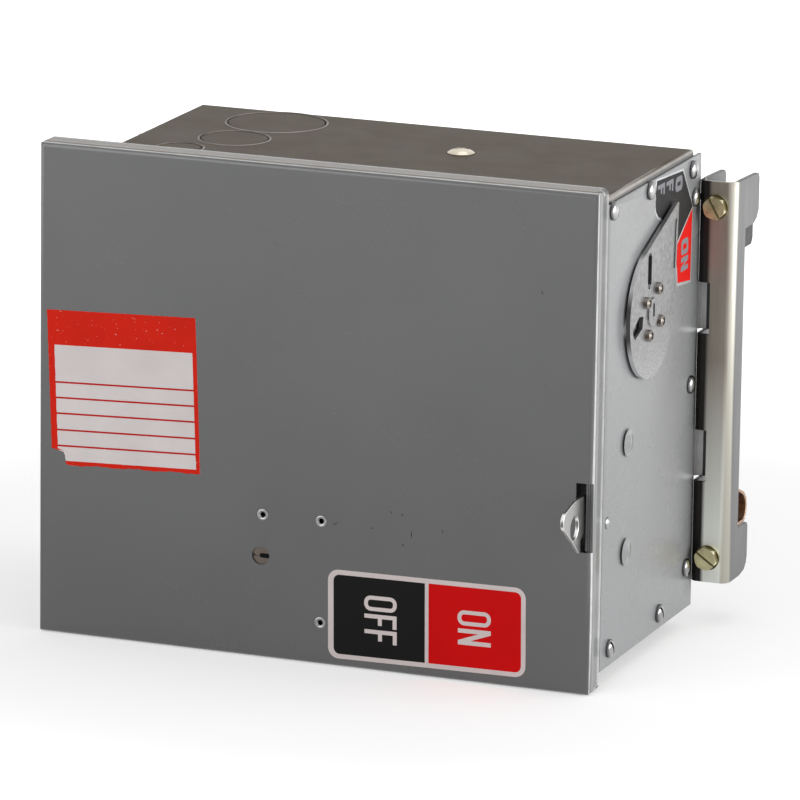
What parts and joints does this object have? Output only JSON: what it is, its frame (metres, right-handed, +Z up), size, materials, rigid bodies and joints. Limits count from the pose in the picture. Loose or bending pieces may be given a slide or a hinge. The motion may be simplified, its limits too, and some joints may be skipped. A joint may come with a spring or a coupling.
{
  "type": "busway tap off box",
  "caption": "Fused switch box that plugs onto a busway: hinged front cover, side dial, padlock latch, clamp channels and rear contact block.",
  "frame": {"origin": "middle of the stab base's rear face, in the plane where the box meets the busway", "axes": "+X to the operating side, +Y into the busway, +Z up"},
  "size_m": [0.3175, 0.2172, 0.254],
  "materials": {
    "grey_paint": "semi-gloss grey enamel",
    "light_grey_paint": "semi-gloss grey enamel",
    "zinc_plate": "bright zinc plate",
    "brass_plate": "dull brass",
    "die_cast": "bare die casting",
    "spring_steel": "dark oiled steel",
    "moulding": "moulded insulation",
    "copper": "bare copper alloy",
    "fibre": "vulcanised fibre",
    "fuse_tube": "glass melamine tube",
    "aluminium": "tin plated",
    "galvanised": "galvanised",
    "yellow_zinc": "yellow chromate zinc"
  },
  "bodies": {
    "box": {"body_shell": "grey_paint", "left_end_plate": "light_grey_paint", "right_end_plate": "light_grey_paint", "end_plate_screws": "zinc_plate", "end_plate_rivets": "zinc_plate", "bonding_screw": "brass_plate", "body_hinge_leaves": "zinc_plate", "hinge_pins": "zinc_plate", "latch_pivot": "zinc_plate", "shaft_bushing": "brass_plate", "snap_spring": "spring_steel", "mechanism_frame": "zinc_plate", "switch_base": "moulding", "base_screws": "zinc_plate", "line_jaws": "copper", "arc_chutes": "fibre", "blade_hinges": "copper", "upper_fuse_clips": "copper", "lower_fuse_clips": "copper", "fuse_1": "fuse_tube", "fuse_2": "fuse_tube", "fuse_3": "fuse_tube", "load_lugs": "aluminium", "lug_screws": "zinc_plate", "line_straps": "copper", "neutral_bar": "aluminium", "neutral_block": "moulding", "ground_lug": "aluminium", "stab_base": "moulding", "stab_jaws": "copper", "stab_screws": "zinc_plate", "right_channel": "galvanised", "left_channel": "galvanised", "hanger_straps": "galvanised", "strap_rivets": "zinc_plate", "ground_finger": "copper"},
    "cover": {"cover": "grey_paint", "cover_hinge_leaves": "zinc_plate", "interlock_bracket": "zinc_plate", "cover_eyelets": "zinc_plate"},
    "interlock_screw": {"interlock_screw": "brass_plate"},
    "rotor": {"dial": "die_cast", "dial_studs": "zinc_plate", "operating_shaft": "zinc_plate", "drive_crank": "zinc_plate", "crossbar": "moulding", "blade_1": "copper", "blade_2": "copper", "blade_3": "copper"},
    "interlock_slider": {"interlock_slider": "zinc_plate"},
    "latch": {"padlock_latch": "zinc_plate"},
    "clamp_bolt_right_upper": {"clamp_bolt_right_upper": "yellow_zinc"},
    "clamp_jaw_right_upper": {"clamp_jaw_right_upper": "spring_steel"},
    "clamp_bolt_right_lower": {"clamp_bolt_right_lower": "yellow_zinc"},
    "clamp_jaw_right_lower": {"clamp_jaw_right_lower": "spring_steel"},
    "clamp_bolt_left_upper": {"clamp_bolt_left_upper": "yellow_zinc"},
    "clamp_jaw_left_upper": {"clamp_jaw_left_upper": "spring_steel"},
    "clamp_bolt_left_lower": {"clamp_bolt_left_lower": "yellow_zinc"},
    "clamp_jaw_left_lower": {"clamp_jaw_left_lower": "spring_steel"}
  },
  "joints": [
    {"name": "cover_swing", "type": "hinge", "parent": "box", "child": "cover", "pos_m": [-0.1505, -0.15914, 0], "axis": [0, 0, -1], "range_deg": [0, 110]},
    {"name": "interlock_screw_turn", "type": "hinge", "parent": "cover", "child": "interlock_screw", "pos_m": [-0.039, -0.16, -0.074], "axis": [0, 1, 0], "range_deg": [0, 90]},
    {"name": "switch_throw", "type": "hinge", "parent": "box", "child": "rotor", "pos_m": [0.1365, -0.092, 0.053], "axis": [-1, 0, 0], "range_deg": [0, 38]},
    {"name": "interlock_slide", "type": "slide", "parent": "box", "child": "interlock_slider", "axis": [0, 0, -1], "range_m": [0, 0.00941]},
    {"name": "latch_turn", "type": "hinge", "parent": "box", "child": "latch", "pos_m": [0.1314, -0.1436, -0.0433], "axis": [1, 0, 0], "range_deg": [0, 9]},
    {"name": "clamp_bolt_right_upper_turn", "type": "hinge", "parent": "box", "child": "clamp_bolt_right_upper", "pos_m": [0.1461, -0.015, 0.0915], "axis": [0, 1, 0], "range_deg": [0, 1441]},
    {"name": "clamp_jaw_right_upper_slide", "type": "slide", "parent": "box", "child": "clamp_jaw_right_upper", "axis": [0, -1, 0], "range_m": [0, 0.00508]},
    {"name": "clamp_bolt_right_lower_turn", "type": "hinge", "parent": "box", "child": "clamp_bolt_right_lower", "pos_m": [0.1461, -0.015, -0.0915], "axis": [0, 1, 0], "range_deg": [0, 1441]},
    {"name": "clamp_jaw_right_lower_slide", "type": "slide", "parent": "box", "child": "clamp_jaw_right_lower", "axis": [0, -1, 0], "range_m": [0, 0.00508]},
    {"name": "clamp_bolt_left_upper_turn", "type": "hinge", "parent": "box", "child": "clamp_bolt_left_upper", "pos_m": [-0.1461, -0.015, 0.0915], "axis": [0, 1, 0], "range_deg": [0, 1441]},
    {"name": "clamp_jaw_left_upper_slide", "type": "slide", "parent": "box", "child": "clamp_jaw_left_upper", "axis": [0, -1, 0], "range_m": [0, 0.00508]},
    {"name": "clamp_bolt_left_lower_turn", "type": "hinge", "parent": "box", "child": "clamp_bolt_left_lower", "pos_m": [-0.1461, -0.015, -0.0915], "axis": [0, 1, 0], "range_deg": [0, 1441]},
    {"name": "clamp_jaw_left_lower_slide", "type": "slide", "parent": "box", "child": "clamp_jaw_left_lower", "axis": [0, -1, 0], "range_m": [0, 0.00508]}
  ],
  "couplings": [
    {"joint": "interlock_slide", "follows": "switch_throw", "m_per_rad": 0.01417},
    {"joint": "clamp_bolt_right_upper_turn", "follows": "clamp_jaw_right_upper_slide", "rad_per_m": 4947.4},
    {"joint": "clamp_bolt_right_lower_turn", "follows": "clamp_jaw_right_lower_slide", "rad_per_m": 4947.4},
    {"joint": "clamp_bolt_left_upper_turn", "follows": "clamp_jaw_left_upper_slide", "rad_per_m": 4947.4},
    {"joint": "clamp_bolt_left_lower_turn", "follows": "clamp_jaw_left_lower_slide", "rad_per_m": 4947.4}
  ]
}
